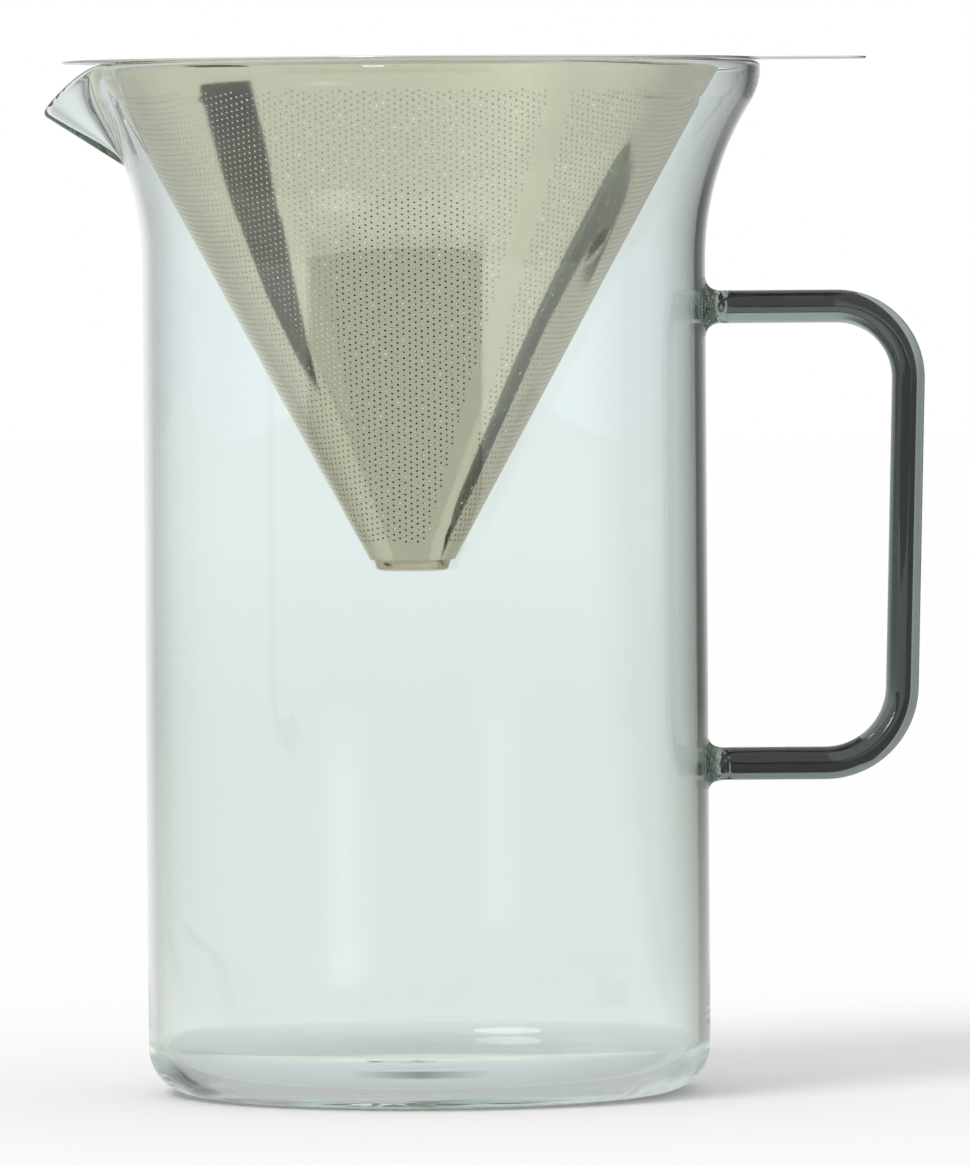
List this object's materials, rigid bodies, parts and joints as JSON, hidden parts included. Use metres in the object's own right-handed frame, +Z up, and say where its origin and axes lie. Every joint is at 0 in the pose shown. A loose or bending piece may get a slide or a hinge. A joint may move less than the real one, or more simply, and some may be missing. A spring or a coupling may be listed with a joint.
{
  "type": "pour-over coffee maker",
  "caption": "Glass coffee jug with a flared mouth, pulled spout and fused rod handle, holding a lift-out perforated steel cone filter on a flat flange with a finger tab.",
  "frame": {"origin": "middle of the jug's flat base, on the surface it stands on", "axes": "+Z up along the jug's axis, +X from the jug's axis towards the handle, so the spout points along -X; the part is symmetrical about the XZ plane"},
  "size_m": [0.1639, 0.1292, 0.1926],
  "materials": {
    "jug_glass": "clear borosilicate, fire-polished lip",
    "handle_glass": "solid rod, smoky grey-green in depth",
    "perforated_steel": "etched stainless sheet, satin",
    "flange_steel": "flat stainless sheet, polished",
    "pressed_steel": "pressed stainless sheet, satin"
  },
  "bodies": {
    "jug": {"jug_body": "jug_glass", "jug_handle": "handle_glass"},
    "filter": {"filter_cone": "perforated_steel", "filter_flange": "flange_steel", "filter_base_cap": "pressed_steel"}
  },
  "joints": [
    {"name": "filter_lift", "type": "slide", "parent": "jug", "child": "filter", "axis": [0, 0, 1], "range_m": [0, 0.11]}
  ]
}
